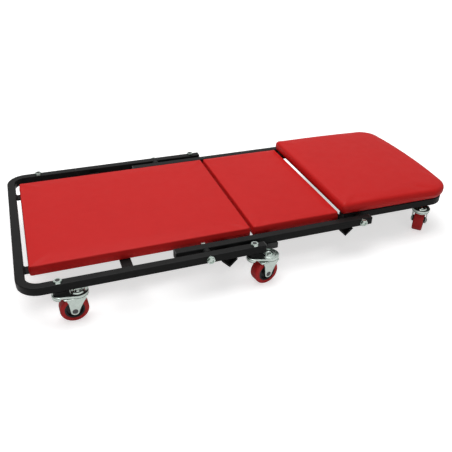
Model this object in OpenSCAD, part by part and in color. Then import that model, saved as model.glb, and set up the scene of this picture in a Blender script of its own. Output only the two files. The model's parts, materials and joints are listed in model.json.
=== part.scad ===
// Folding creeper seat: three padded sections on square tube frames.
// Lying flat it is a long, low creeper on six swivel casters. The middle section swings up and
// back, and the seat section swings level again, which makes a low rolling seat.
// The floor is z = 0, +X runs from the head end to the seat section, and -Y is the near side.

/* [Frames] */
// Outside width of the base frame
base_w = 432; // [380:1:520]
// Length of the base frame's rails, from the outside of the bent end
base_len = 444.4; // [420:1:520]
// Distance from the base frame's bent end to the back pivot
back_pivot_at = 335.4; // [320:1:380]
// Distance between the back pivot and the seat pivot
pivot_span = 335; // [290:1:410]
// Distance from the seat pivot to the outside of the seat frame's bent end
seat_reach = 228.8; // [200:1:280]
// Length of the middle rails behind the back pivot
back_tail = 57; // [50:1:66]
// Length of the middle rails past the seat pivot
front_tail = 19; // [14:1:26]
// Length of the seat rails behind the seat pivot
seat_tail = 30; // [27:1:36]
// Outside radius of a bent corner
bend_r = 40; // [30:1:60]
// Side gap between two frames that swing past each other
nest_gap = 10.8; // [9:0.2:14]

/* [Tube] */
// Outside size of the square tube
tube = 16; // [14:0.5:20]
// Wall of the square tube
tube_wall = 1.5; // [1:0.1:2]
// Radius of the tube's long edges
tube_edge_r = 1.8; // [0.8:0.1:2.4]
// Width of the flat pad straps
strap_w = 20; // [16:1:26]
// Thickness of the flat pad straps
strap_t = 3; // [2:0.5:4]
// Leg of the angle bars that stop the folding frames
stop_leg = 22; // [19:0.5:25]
// Thickness of those angle bars
stop_t = 3; // [2:0.5:4]

/* [Pads] */
// Length of the long pad
long_pad_len = 409; // [370:1:480]
// Gap between the base frame's bent end and the long pad
long_pad_gap = 10.4; // [6:0.2:20]
// Gap between the long pad and the middle pad
pad_gap = 6; // [5:0.5:14]
// Gap between the middle pad and the seat pad
seat_pad_gap = 10; // [8:0.5:20]
// Gap between the middle rails and the pads between them
pad_side_gap = 12.2; // [6:0.2:20]
// How far the seat pad overhangs the bent end of its frame
seat_pad_over = 4.4; // [0:0.2:12]
// How far the seat pad's left edge lies behind the seat pivot
seat_pad_back = 32; // [30:1:40]
// Thickness of a pad's board
board_t = 8; // [6:0.5:12]
// Foam and cover over the board of the long and middle pads, at their edge
flat_foam_h = 12.7; // [8:0.1:20]
// Extra height in the middle of those pads
flat_crown = 2.6; // [1:0.1:6]
// Foam and cover over the board of the seat pad, at its edge
seat_foam_h = 15.5; // [10:0.1:30]
// Extra height in the middle of the seat pad
seat_crown = 4.6; // [2:0.1:8]
// Radius of the seat pad's two outer corners
seat_corner_r = 50; // [20:1:70]
// Radius of every other pad corner
pad_corner_r = 5; // [4:0.5:12]

/* [Casters] */
// Diameter of a wheel
wheel_d = 50; // [44:1:60]
// Width of a tyre
wheel_w = 21; // [17:0.5:24]
// Diameter of a wheel's plastic core
core_d = 35; // [30:1:38]
// Distance from the swivel axis to the wheel's axle
trail = 10; // [8:0.5:14]
// Distance from a caster's bolt to its swivel axis
swivel_offset = 30; // [28:0.5:42]
// Outside width of a fork
fork_w = 31; // [28:0.5:34]
// Sheet of a fork
fork_t = 1.6; // [1.2:0.1:2]
// Diameter of a caster's round crown and bearing cup
crown_d = 36; // [34:0.5:37]
// Height of the spacer block between a rail and its caster arm
block_h = 8.2; // [5:0.2:14]

/* [Fasteners] */
// Diameter of the pivot and caster bolts
bolt_d = 8; // [6:0.5:9]
// Radial clearance of everything that turns on a bolt, kingpin or axle
running_gap = 0.05; // [0.02:0.01:0.1]
// Clearance between faces that move past each other
face_gap = 0.3; // [0.2:0.05:0.5]

/* [Hidden] */

// Colours
FRAME_BLACK = [0.09, 0.09, 0.09];
ZINC = [0.78, 0.80, 0.80];
VINYL_RED = [0.74, 0.13, 0.12];
TYRE_RED = [0.58, 0.10, 0.11];
CORE_BLACK = [0.07, 0.07, 0.07];
BOARD_TAN = [0.62, 0.47, 0.30];
PLUG_BLACK = [0.13, 0.13, 0.13];
STEEL = [0.55, 0.56, 0.57];

// Facets of the exact round shapes and of the blended ones
$fn = 64;
blend_fn = 32;
bend_fn = 96;
ball_fn = 24;
// Overrun of every cut
cut = 1;

// Stack of a caster, from the floor up to the underside of the rails
wheel_r = wheel_d / 2;
crown_clear = 1.2;
race_gap = 0.4;
cup_t = 1.4;
arm_t = 1.6;
cap_t = 1.6;
crown_z = wheel_d + crown_clear;
crown_top = crown_z + fork_t;
cup_z = crown_top + race_gap;
arm_z = cup_z + cup_t;
cap_z = arm_z + arm_t;
block_z = cap_z + cap_t;
rail_z = block_z + block_h;
rail_top = rail_z + tube;
pivot_z = rail_z + tube / 2;

// Places along X
total_len = back_pivot_at + pivot_span + seat_reach + seat_pad_over;
head_x = -total_len / 2;
back_x = head_x + back_pivot_at;
seat_x = back_x + pivot_span;
seat_end_x = seat_x + seat_reach;
base_end_x = head_x + base_len;

// Half widths of the three frames, each inside the one before
base_y = base_w / 2;
mid_y = base_y - tube - nest_gap;
seat_y = mid_y - tube - nest_gap;

// Angle bars: the folded rails lie flat against one leg
stop_h = (stop_leg + stop_t) / sqrt(2);
stop_apex_z = rail_z - stop_h;
stop_reach = (pivot_z - stop_apex_z) + (tube / 2 + face_gap) * sqrt(2);
base_stop_x = back_x + stop_reach;
mid_stop_x = seat_x - stop_reach;
stop_half = stop_leg / sqrt(2);
// Room beside a rail where an angle bar is lowered under it
stop_window = 2;

// Plugs in the tube ends
plug_cap_t = 1.5;
plug_deep = 10;
plug_fit = 0.1;
weld_r = 2;

// Middle frame's cross tube, welded under its rails
cross_w = 22;
cross_h = rail_z - crown_top - face_gap;
cross_at = 124;
cross_x = back_x + cross_at;

// Straps under the pads
strap_y = 137;
strap_z = rail_z;
board_z = strap_z + strap_t;
base_cross_strap_at = 190;
mid_strap_lap = 3;

// Pads
pad_half = mid_y - tube - pad_side_gap;
cover_t = 1.5;
board_fit = 0.1;
seat_edge_in = 1.4;
seat_half = seat_y - seat_edge_in;
long_pad_x = head_x + tube + long_pad_gap;
mid_pad_x = long_pad_x + long_pad_len + pad_gap;
seat_pad_x = seat_x - seat_pad_back;
mid_pad_len = seat_pad_x - seat_pad_gap - mid_pad_x;
seat_pad_len = total_len / 2 - seat_pad_x;
flat_bulge = 1.2;
flat_roll_share = 0.28;
seat_roll_share = 0.5;
least_corner_r = 1;
seat_bulge = 8;
seat_end_bow = 4;
seat_board_len = seat_pad_len - seat_end_bow - 2 * seat_bulge;

// Pad screws
screw_r = 2.25;
screw_head_r = 4.5;
screw_head_h = 2.4;
screw_bite = 6;
screw_hole_r = 2.7;
pilot_fit = 0.05;
long_screw_at = [40, 190, 320];
mid_screw_at = [52, 150];
screw_tip_share = 0.72;
seat_strap_at = 46;
seat_strap_x = seat_x + seat_strap_at;
seat_screw_y = 70;

// Caster arms
arm_bolt_r = 13;
arm_pin_r = 18.5;
rim_t = 1.8;
rim_h = 2.4;
cap_gap = 0.4;
cap_dome_r = 10.5;
cap_dome_h = 1.8;
kingpin_r = 4;
kingpin_head_r = 5.6;
kingpin_head_h = 0.9;
kingpin_play = 0.1;
foot_edge_share = 0.8;
head_edge_share = 0.7;
cap_head_h = 1.6;
block_in = 16.5;
block_end_r = arm_bolt_r - rim_t - cap_gap;
edge_cut = 0.5;

// Balls of the swivel bearing
ball_r = 1.1;
ball_ring_r = 11.5;
ball_count = 10;
ball_gap = 0.05;

// Forks, axles and wheels
axle_r = 4;
axle_head_r = 5;
axle_head_h = 1.5;
fork_in = fork_w / 2 - fork_t;
fork_bend_r = 2.6;
plate_front = 26.5;
plate_corner_r = 4;
leg_tip_r = 7.3;
leg_top_back = 13;
leg_top_front = 22;
leg_neck_back = 6.8;
leg_neck_front = 19;
leg_neck_deep = 8;
leg_waist_back = 0.6;
leg_waist_deep = 19;
core_boss_r = 6.8;
core_web_w = 9;
core_rim_t = 2.6;
core_side_gap = 0.2;
core_set_in = 1;
tread_round = 3;

// Bolts and nuts
bolt_r = bolt_d / 2;
hex_share = 0.94;
nut_share = 0.78;
head_share = 0.6;
thin_nut_share = 0.55;
hex_r = bolt_d * hex_share;
nut_h = bolt_d * nut_share;
head_h = bolt_d * head_share;
thin_nut_h = bolt_d * thin_nut_share;
collar_share = 0.82;
nut_hex_share = 0.72;
bolt_set_in = 2;
low_head_r = 7;
low_head_h = arm_z - crown_top - face_gap;
washer_r = 7.4;
washer_t = 1.2;
bolt_fit = 0.1;
spacer_r = 8;

// Caster places: name, x, y, direction from the swivel to the bolt, direction of the trail
rail_mid_y = base_y - tube / 2;
seat_rail_y = seat_y - tube / 2;
head_bolt_at = 67.8;
centre_bolt_in = 20.4;
seat_caster_in = 58.8;
head_swivel_x = head_x + head_bolt_at + swivel_offset;
arm_turn = 8;
centre_swivel_x = base_end_x - centre_bolt_in + swivel_offset * cos(arm_turn);
centre_swivel_y = rail_mid_y + swivel_offset * sin(arm_turn);
seat_swivel_x = seat_end_x - seat_caster_in;
HEAD_NEAR = [head_swivel_x, -rail_mid_y, 180, 182];
HEAD_FAR = [head_swivel_x, rail_mid_y, 180, 178];
CENTRE_NEAR = [centre_swivel_x, -centre_swivel_y, 180 - arm_turn, 191];
CENTRE_FAR = [centre_swivel_x, centre_swivel_y, 180 + arm_turn, 169];
SEAT_NEAR = [seat_swivel_x, -seat_rail_y, 90, 45];
SEAT_FAR = [seat_swivel_x, seat_rail_y, -90, -45];
BASE_CASTERS = [HEAD_NEAR, HEAD_FAR, CENTRE_NEAR, CENTRE_FAR];
SEAT_CASTERS = [SEAT_NEAR, SEAT_FAR];

// Place of a caster's bolt
function bolt_x(c) = c[0] + swivel_offset * cos(c[2]);
function bolt_y(c) = c[1] + swivel_offset * sin(c[2]);

// Section with round edges
module round_section(w, h) {
    square([w - 2 * tube_edge_r, h], center = true);
    square([w, h - 2 * tube_edge_r], center = true);
    for (side = [-1, 1])
        for (level = [-1, 1])
            translate([side * (w / 2 - tube_edge_r), level * (h / 2 - tube_edge_r)])
                circle(r = tube_edge_r, $fn = blend_fn);
}

// Square tube along X or Y, hollow and open at both ends
module tube_section(outer_w, outer_h) {
    difference() {
        round_section(outer_w, outer_h);
        square([outer_w - 2 * tube_wall, outer_h - 2 * tube_wall], center = true);
    }
}

module tube_x(x0, x1, y) {
    translate([x0, y, pivot_z])
        rotate([90, 0, 90])
            linear_extrude(x1 - x0)
                tube_section(tube, tube);
}

module tube_y(y0, y1, x) {
    translate([x, y1, pivot_z])
        rotate([90, 0, 0])
            linear_extrude(y1 - y0)
                tube_section(tube, tube);
}

// Quarter bend about a centre, starting at an angle
module tube_bend(x, y, start) {
    translate([x, y, pivot_z])
        rotate([0, 0, start])
            rotate_extrude(angle = 90, $fn = bend_fn)
                translate([bend_r - tube / 2, 0])
                    tube_section(tube, tube);
}

// Three sides of a frame with two bends; dir is +1 when the bent end lies at the right
module bent_frame(end_x, open_x, half_w, dir) {
    bend_x = end_x - dir * bend_r;
    for (side = [-1, 1]) {
        tube_x(min(open_x, bend_x), max(open_x, bend_x), side * (half_w - tube / 2));
        tube_bend(bend_x, side * (half_w - bend_r), side > 0 ? (dir > 0 ? 0 : 90) : (dir > 0 ? 270 : 180));
    }
    tube_y(-half_w + bend_r, half_w - bend_r, end_x - dir * tube / 2);
}

// Upright and crosswise holes
module hole_z(x, y, r) {
    translate([x, y, rail_z - cut])
        cylinder(r = r, h = tube + 2 * cut);
}

module hole_y(x, y0, y1, r) {
    translate([x, y1 + cut, pivot_z])
        rotate([90, 0, 0])
            cylinder(r = r, h = y1 - y0 + 2 * cut);
}

// Plug in the open end of a tube; dir is the way the end faces
module tube_plug(x, y, dir) {
    inner = tube - 2 * tube_wall - 2 * plug_fit;
    translate([x, y, pivot_z])
        rotate([0, 0, dir > 0 ? 0 : 180]) {
            rotate([90, 0, 90])
                linear_extrude(plug_cap_t)
                    round_section(tube, tube);
            translate([-plug_deep, -inner / 2, -inner / 2])
                cube([plug_deep, inner, inner]);
        }
}

// Weld bead in the corner between a strap's top and the tube it meets; turn is the strap's way out
module weld_bead(turn) {
    rotate([0, 0, turn])
        translate([0, strap_w / 2, 0])
            rotate([90, 0, 0])
                linear_extrude(strap_w)
                    intersection() {
                        circle(r = weld_r, $fn = blend_fn);
                        square(weld_r);
                    }
}

// Angle bar, apex down, across the frame
module angle_bar(x, half_w) {
    translate([x, half_w, stop_apex_z])
        rotate([90, 0, 0])
            linear_extrude(2 * half_w)
                rotate(45)
                    difference() {
                        square(stop_leg);
                        translate([stop_t, stop_t])
                            square(stop_leg);
                    }
}

// Screw driven up through a strap into a board
module pad_screw(x, y, seat_z, grip) {
    translate([x, y, seat_z]) {
        cylinder(r = screw_r, h = grip + screw_bite);
        translate([0, 0, -screw_head_h])
            cylinder(r1 = screw_head_r * screw_tip_share, r2 = screw_head_r, h = screw_head_h);
    }
}

// Outline of a pad, the same number of points whatever the inset
corner_steps = 6;
side_steps = 7;

function corner_points(cx, cy, r, start) =
    [for (i = [0:corner_steps]) let (a = start + 90 * i / corner_steps) [cx + r * cos(a), cy + r * sin(a)]];

function side_points(p, q, bow, across) =
    [for (i = [1:side_steps])
        let (t = i / (side_steps + 1)) p + (q - p) * t + across * bow * 4 * t * (1 - t)];

function pad_outline(length, half_w, left_r, right_r, end_bow, inset) =
    let (
        x0 = inset,
        x1 = length - inset,
        hw = half_w - inset,
        lr = max(left_r - inset, least_corner_r),
        rr = max(right_r - inset, least_corner_r),
        a = corner_points(x1 - rr, hw - rr, rr, 0),
        b = corner_points(x0 + lr, hw - lr, lr, 90),
        c = corner_points(x0 + lr, lr - hw, lr, 180),
        d = corner_points(x1 - rr, rr - hw, rr, 270),
        last = corner_steps
    )
    concat(
        a, side_points(a[last], b[0], 0, [0, 1]),
        b, side_points(b[last], c[0], 0, [-1, 0]),
        c, side_points(c[last], d[0], 0, [0, -1]),
        d, side_points(d[last], a[0], end_bow, [1, 0])
    );

// Ring of a pad drawn towards its middle by a share
function pad_ring(outline, mid, share, z) =
    [for (p = outline) [mid[0] + (p[0] - mid[0]) * share, (p[1] - mid[1]) * share + mid[1], z]];

// Rings from the middle of the crown, over the edge and down the side, to the pocket for the board
crown_shares = [0.12, 0.35, 0.58, 0.78, 0.91];
roll_shares = [[1, 0.06], [0.55, 0.28], [0.2, 0.62], [0.03, 0.86]];
side_shares = [[1, 0.62], [0.72, 0.36], [0.25, 0.12], [0, 0]];

function flatten(lists) = [for (list = lists) for (item = list) item];

// A closed cushion: crowned top, rolled edge, bulging side drawn in at the bottom, and a pocket
module cushion(length, half_w, left_r, right_r, end_bow, foam_h, crown_h, bulge, roll) {
    mid = [length / 2, 0];
    side_h = board_t + foam_h;
    top_z = side_h;
    rings = concat(
        [for (s = crown_shares)
            pad_ring(pad_outline(length, half_w, left_r, right_r, end_bow, roll), mid, s,
                top_z + crown_h * (1 - s * s))],
        [for (r = roll_shares)
            pad_ring(pad_outline(length, half_w, left_r, right_r, end_bow, roll * r[0] - bulge * (1 - r[0])),
                mid, 1, top_z - roll * r[1])],
        [for (k = side_shares)
            pad_ring(pad_outline(length, half_w, left_r, right_r, end_bow, -bulge * k[0]), mid, 1,
                side_h * k[1])],
        [for (z = [0, board_t])
            pad_ring(pad_outline(length, half_w, left_r, right_r, end_bow, cover_t), mid, 1, z)]
    );
    n = len(rings[0]);
    m = len(rings);
    points = concat(flatten(rings), [[mid[0], mid[1], top_z + crown_h], [mid[0], mid[1], board_t]]);
    walls = [for (k = [0:m - 2]) for (i = [0:n - 1])
        let (j = (i + 1) % n) each [
            [k * n + i, k * n + j, (k + 1) * n + i],
            [k * n + j, (k + 1) * n + j, (k + 1) * n + i]
        ]];
    top = [for (i = [0:n - 1]) [m * n, (i + 1) % n, i]];
    pocket = [for (i = [0:n - 1]) [m * n + 1, (m - 1) * n + i, (m - 1) * n + (i + 1) % n]];
    polyhedron(points = points, faces = concat(walls, top, pocket), convexity = 6);
}

// The board that fills a cushion's pocket
module board(length, half_w, left_r, right_r, end_bow) {
    linear_extrude(board_t)
        polygon(pad_outline(length, half_w, left_r, right_r, end_bow, cover_t + board_fit));
}

// Outline of a caster arm: a round end at the swivel, joined by tangents to one at the bolt
module arm_outline(pin_r, end_r) {
    lean = acos((pin_r - end_r) / swivel_offset);
    circle(r = pin_r);
    translate([swivel_offset, 0])
        circle(r = end_r);
    polygon([
        [pin_r * cos(lean), pin_r * sin(lean)],
        [pin_r * cos(lean), -pin_r * sin(lean)],
        [swivel_offset + end_r * cos(lean), -end_r * sin(lean)],
        [swivel_offset + end_r * cos(lean), end_r * sin(lean)]
    ]);
}

// Moves a caster part to its swivel axis, turned towards its bolt or along its trail
module at_arm(c) {
    translate([c[0], c[1], 0])
        rotate([0, 0, c[2]])
            children();
}

module at_trail(c) {
    translate([c[0], c[1], 0])
        rotate([0, 0, c[3]])
            children();
}

// Dished arm between the bolt and the swivel
module caster_arm(c) {
    at_arm(c)
        difference() {
            translate([0, 0, arm_z])
                linear_extrude(arm_t + rim_h)
                    arm_outline(arm_pin_r, arm_bolt_r);
            translate([0, 0, cap_z])
                linear_extrude(rim_h + cut)
                    arm_outline(arm_pin_r - rim_t, arm_bolt_r - rim_t);
            translate([0, 0, arm_z - cut])
                cylinder(r = kingpin_r + bolt_fit, h = arm_t + 2 * cut);
            translate([swivel_offset, 0, arm_z - cut])
                cylinder(r = bolt_r + bolt_fit, h = arm_t + 2 * cut);
        }
}

// Spacer block that holds the arm under its rail, in line with the tube
module caster_block(c) {
    translate([bolt_x(c), bolt_y(c), block_z])
        rotate([0, 0, round(c[2] / 90) * 90])
            difference() {
                union() {
                    translate([-block_in, -tube / 2, 0])
                        cube([block_in, tube, block_h]);
                    intersection() {
                        cylinder(r = block_end_r, h = block_h);
                        translate([0, -tube / 2, 0])
                            cube([block_end_r, tube, block_h]);
                    }
                }
                translate([0, 0, -cut])
                    cylinder(r = bolt_r + bolt_fit, h = block_h + 2 * cut);
            }
}

// Cap plate inside the arm, with its raised ring, and the bearing cup under the arm
module caster_plate(c) {
    inset = rim_t + cap_gap;
    at_arm(c) {
        difference() {
            union() {
                translate([0, 0, cap_z])
                    linear_extrude(cap_t)
                        arm_outline(arm_pin_r - inset, arm_bolt_r - inset);
                translate([0, 0, cap_z])
                    rotate_extrude()
                        polygon([
                            [0, 0],
                            [cap_dome_r + cap_dome_h, 0],
                            [cap_dome_r + cap_dome_h, cap_t],
                            [cap_dome_r, cap_t + cap_dome_h],
                            [kingpin_head_r + cap_dome_h, cap_t + cap_dome_h],
                            [kingpin_head_r + edge_cut, cap_t],
                            [0, cap_t]
                        ]);
            }
            translate([0, 0, cap_z - cut])
                cylinder(r = kingpin_r + bolt_fit, h = cap_t + 2 * cut);
            translate([swivel_offset, 0, cap_z - cut])
                cylinder(r = bolt_r + bolt_fit, h = cap_t + 2 * cut);
        }
        difference() {
            translate([0, 0, cup_z])
                rotate_extrude()
                    polygon([
                        [kingpin_r + bolt_fit, 0],
                        [crown_d / 2 - edge_cut, 0],
                        [crown_d / 2, edge_cut],
                        [crown_d / 2, cup_t],
                        [kingpin_r + bolt_fit, cup_t]
                    ]);
            ball_race();
        }
    }
}

// Groove that the balls run in, cut into the cup and the crown
module ball_race() {
    translate([0, 0, cup_z - race_gap / 2])
        rotate_extrude()
            translate([ball_ring_r, 0])
                circle(r = ball_r + ball_gap, $fn = blend_fn);
}

module caster_balls(c) {
    at_arm(c)
        for (i = [0:ball_count - 1])
            rotate([0, 0, 360 * i / ball_count])
                translate([ball_ring_r, 0, cup_z - race_gap / 2])
                    sphere(r = ball_r, $fn = ball_fn);
}

// Lock nut: a hexagon with a round collar, and a bore that the bolt's end stops short in
module lock_nut(h) {
    difference() {
        union() {
            cylinder(r = hex_r, h = h * nut_hex_share, $fn = 6);
            cylinder(r = hex_r * collar_share, h = h);
        }
        translate([0, 0, -cut])
            cylinder(r = bolt_r + pilot_fit, h = h + 2 * cut);
    }
}

// Bolt up through arm, block and tube, with its nut on top
module caster_bolt(c) {
    translate([bolt_x(c), bolt_y(c), 0]) {
        translate([0, 0, arm_z])
            cylinder(r = bolt_r, h = rail_top + thin_nut_h - bolt_set_in - arm_z);
        translate([0, 0, arm_z - low_head_h])
            cylinder(r = low_head_r, h = low_head_h);
        translate([0, 0, rail_top])
            lock_nut(thin_nut_h);
    }
}

// Rivet that carries the fork
module kingpin(c) {
    foot_z = crown_z - kingpin_play;
    at_arm(c) {
        translate([0, 0, foot_z])
            cylinder(r = kingpin_r, h = block_z - foot_z);
        translate([0, 0, foot_z - kingpin_head_h])
            cylinder(r1 = kingpin_head_r * foot_edge_share, r2 = kingpin_head_r, h = kingpin_head_h);
        translate([0, 0, block_z])
            cylinder(r1 = kingpin_head_r, r2 = kingpin_head_r * head_edge_share, h = cap_head_h);
    }
}

// Side view of a fork: the plate's edge and a leg that tapers to a round tip
module fork_side() {
    translate([-leg_top_back, 0])
        square([leg_top_back + plate_front, fork_t]);
    translate([trail, wheel_r - crown_z])
        circle(r = leg_tip_r);
    polygon([
        [-leg_top_back, 0],
        [-leg_neck_back, -leg_neck_deep],
        [-leg_waist_back, -leg_waist_deep],
        [trail - leg_tip_r, wheel_r - crown_z],
        [trail + leg_tip_r, wheel_r - crown_z],
        [leg_neck_front, -leg_neck_deep],
        [leg_top_front, 0]
    ]);
}

// End view of a fork: sheet bent down at both sides
module fork_end() {
    deep = crown_z - wheel_r + leg_tip_r;
    difference() {
        union() {
            translate([-fork_w / 2, -deep])
                square([fork_w, deep + fork_t - fork_bend_r]);
            translate([-fork_w / 2 + fork_bend_r, 0])
                square([fork_w - 2 * fork_bend_r, fork_t]);
            for (side = [-1, 1])
                translate([side * (fork_w / 2 - fork_bend_r), fork_t - fork_bend_r])
                    circle(r = fork_bend_r, $fn = blend_fn);
        }
        translate([-fork_in, -deep - cut])
            square([2 * fork_in, deep + cut]);
    }
}

// Stamped fork: flat plate with a round crown and the lower ball race, and two flat legs
module caster_fork(c) {
    color(ZINC) at_trail(c) {
        difference() {
            union() {
                translate([0, 0, crown_z])
                    cylinder(r = crown_d / 2, h = fork_t);
                intersection() {
                    translate([0, fork_w / 2 + cut, crown_z])
                        rotate([90, 0, 0])
                            linear_extrude(fork_w + 2 * cut)
                                fork_side();
                    translate([-leg_top_back - cut, 0, crown_z])
                        rotate([90, 0, 90])
                            linear_extrude(leg_top_back + plate_front + 2 * cut)
                                fork_end();
                }
            }
            translate([0, 0, crown_z - cut])
                cylinder(r = kingpin_r + running_gap, h = fork_t + 2 * cut);
            ball_race();
            translate([trail, fork_w / 2 + cut, wheel_r])
                rotate([90, 0, 0])
                    cylinder(r = axle_r, h = fork_w + 2 * cut);
            for (side = [-1, 1])
                translate([plate_front - plate_corner_r, side * (fork_w / 2 - plate_corner_r), crown_z - cut])
                    rotate([0, 0, side > 0 ? 0 : -90])
                        difference() {
                            cube([plate_corner_r + cut, plate_corner_r + cut, fork_t + 2 * cut]);
                            cylinder(r = plate_corner_r, h = fork_t + 2 * cut);
                        }
        }
    }
}

module caster_axle(c) {
    color(STEEL) at_trail(c)
        translate([trail, 0, wheel_r])
            rotate([90, 0, 0]) {
                cylinder(r = axle_r, h = fork_w, center = true);
                for (side = [-1, 1])
                    rotate([side > 0 ? 0 : 180, 0, 0])
                        translate([0, 0, fork_w / 2])
                            cylinder(r1 = axle_head_r, r2 = axle_head_r * head_edge_share, h = axle_head_h);
            }
}

// Plastic core: bearing boss, dished web and rim
module caster_hub(c) {
    core_r = core_d / 2;
    boss_w = 2 * (fork_in - core_side_gap);
    rim_w = wheel_w - 2 * core_set_in;
    color(CORE_BLACK) at_trail(c)
        translate([trail, 0, wheel_r])
            rotate([90, 0, 0])
                rotate_extrude()
                    polygon([
                        [axle_r + running_gap, -boss_w / 2],
                        [core_boss_r, -boss_w / 2],
                        [core_boss_r + edge_cut, -core_web_w / 2],
                        [core_r - core_rim_t, -core_web_w / 2],
                        [core_r - core_rim_t, -rim_w / 2],
                        [core_r, -rim_w / 2],
                        [core_r, rim_w / 2],
                        [core_r - core_rim_t, rim_w / 2],
                        [core_r - core_rim_t, core_web_w / 2],
                        [core_boss_r + edge_cut, core_web_w / 2],
                        [core_boss_r, boss_w / 2],
                        [axle_r + running_gap, boss_w / 2]
                    ]);
}

// Tyre with rounded shoulders
module caster_tyre(c) {
    core_r = core_d / 2;
    flat_w = wheel_w / 2 - tread_round;
    color(TYRE_RED) at_trail(c)
        translate([trail, 0, wheel_r])
            rotate([90, 0, 0])
                rotate_extrude() {
                    translate([core_r, -wheel_w / 2])
                        square([wheel_r - tread_round - core_r, wheel_w]);
                    translate([core_r, -flat_w])
                        square([wheel_r - core_r, 2 * flat_w]);
                    for (side = [-1, 1])
                        translate([wheel_r - tread_round, side * flat_w])
                            circle(r = tread_round, $fn = blend_fn);
                }
}

// Bolt through two rails: nut outside, flat head inside
module pivot_bolt(x, y_out, y_in, side) {
    head_y = y_in - face_gap;
    translate([x, 0, pivot_z])
        rotate([side > 0 ? -90 : 90, 0, 0]) {
            translate([0, 0, head_y - head_h])
                cylinder(r = hex_r, h = head_h, $fn = 6);
            translate([0, 0, head_y])
                cylinder(r = bolt_r, h = y_out + nut_h - bolt_set_in - head_y);
            translate([0, 0, y_out + washer_t])
                lock_nut(nut_h - washer_t);
            difference() {
                translate([0, 0, y_out])
                    cylinder(r = washer_r, h = washer_t);
                translate([0, 0, y_out - cut])
                    cylinder(r = bolt_r + pilot_fit, h = washer_t + 2 * cut);
            }
        }
}

// Ring between two rails, fixed to the outer one
module pivot_spacer(x, y_out, side) {
    translate([x, 0, pivot_z])
        rotate([side > 0 ? -90 : 90, 0, 0])
            difference() {
                translate([0, 0, y_out - nest_gap + face_gap])
                    cylinder(r = spacer_r, h = nest_gap - face_gap);
                translate([0, 0, y_out - nest_gap - cut])
                    cylinder(r = bolt_r + bolt_fit, h = nest_gap + 2 * cut);
            }
}

module base_frame() {
    color(FRAME_BLACK) difference() {
        bent_frame(head_x, base_end_x, base_y, -1);
        for (c = BASE_CASTERS)
            hole_z(bolt_x(c), bolt_y(c), bolt_r + bolt_fit);
        for (side = [-1, 1])
            hole_y(back_x, side * rail_mid_y - tube / 2, side * rail_mid_y + tube / 2, bolt_r + bolt_fit);
    }
}

module base_stop_bar() {
    color(FRAME_BLACK) difference() {
        angle_bar(base_stop_x, base_y);
        for (side = [-1, 1])
            translate([base_stop_x - stop_leg, side * (mid_y - tube / 2) - tube / 2 - stop_window,
                rail_z - face_gap])
                cube([2 * stop_leg, tube + 2 * stop_window, cut]);
    }
}

module base_pad_straps() {
    start_x = head_x + tube;
    strap_mid_x = head_x + base_cross_strap_at;
    color(FRAME_BLACK) difference() {
        union() {
            for (side = [-1, 1]) {
                translate([start_x, side * strap_y - strap_w / 2, strap_z])
                    cube([base_stop_x + stop_half - start_x, strap_w, strap_t]);
                translate([start_x, side * strap_y, board_z])
                    weld_bead(0);
                translate([strap_mid_x, side * (base_y - tube), board_z])
                    weld_bead(side > 0 ? -90 : 90);
            }
            translate([strap_mid_x - strap_w / 2, -base_y + tube, strap_z])
                cube([strap_w, 2 * (base_y - tube), strap_t]);
        }
        for (at = long_screw_at)
            for (side = [-1, 1])
                translate([long_pad_x + at, side * strap_y, strap_z - cut])
                    cylinder(r = screw_hole_r, h = strap_t + 2 * cut);
    }
}

module base_end_plugs() {
    color(PLUG_BLACK)
        for (side = [-1, 1])
            tube_plug(base_end_x, side * rail_mid_y, 1);
}

module pad_board(x, z, length, half_w, right_r, end_bow, holes) {
    color(BOARD_TAN) difference() {
        translate([x, 0, z])
            board(length, half_w, pad_corner_r, right_r, end_bow);
        for (h = holes)
            translate([h[0], h[1], z - cut])
                cylinder(r = h[2], h = h[3] + cut);
    }
}

module long_pad_board() {
    pad_board(long_pad_x + flat_bulge, board_z, long_pad_len - 2 * flat_bulge, pad_half - flat_bulge,
        pad_corner_r, 0,
        [for (at = long_screw_at) for (side = [-1, 1])
            [long_pad_x + at, side * strap_y, screw_r + pilot_fit, screw_bite]]);
}

module long_pad_cushion() {
    color(VINYL_RED)
        translate([long_pad_x + flat_bulge, 0, board_z])
            cushion(long_pad_len - 2 * flat_bulge, pad_half - flat_bulge, pad_corner_r, pad_corner_r, 0,
                flat_foam_h, flat_crown, flat_bulge, flat_foam_h * flat_roll_share);
}

module long_pad_screws() {
    color(ZINC)
        for (at = long_screw_at)
            for (side = [-1, 1])
                pad_screw(long_pad_x + at, side * strap_y, strap_z, strap_t);
}

module base_caster_blocks() {
    color(FRAME_BLACK)
        for (c = BASE_CASTERS)
            caster_block(c);
}

module base_caster_arms() {
    color(ZINC)
        for (c = BASE_CASTERS) {
            caster_arm(c);
            caster_plate(c);
        }
}

module base_caster_balls() {
    color(STEEL)
        for (c = BASE_CASTERS)
            caster_balls(c);
}

module base_caster_bolts() {
    color(ZINC)
        for (c = BASE_CASTERS)
            caster_bolt(c);
}

module base_kingpins() {
    color(ZINC)
        for (c = BASE_CASTERS)
            kingpin(c);
}

module back_pivot_bolts() {
    color(ZINC)
        for (side = [-1, 1])
            pivot_bolt(back_x, base_y, mid_y - tube, side);
}

module back_pivot_spacers() {
    color(FRAME_BLACK)
        for (side = [-1, 1])
            pivot_spacer(back_x, base_y - tube, side);
}

module middle_rails() {
    color(FRAME_BLACK)
        for (side = [-1, 1]) {
            y = side * (mid_y - tube / 2);
            difference() {
                tube_x(back_x - back_tail, seat_x + front_tail, y);
                hole_y(back_x, y - tube / 2, y + tube / 2, bolt_r + running_gap);
                hole_y(seat_x, y - tube / 2, y + tube / 2, bolt_r + bolt_fit);
            }
        }
}

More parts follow.
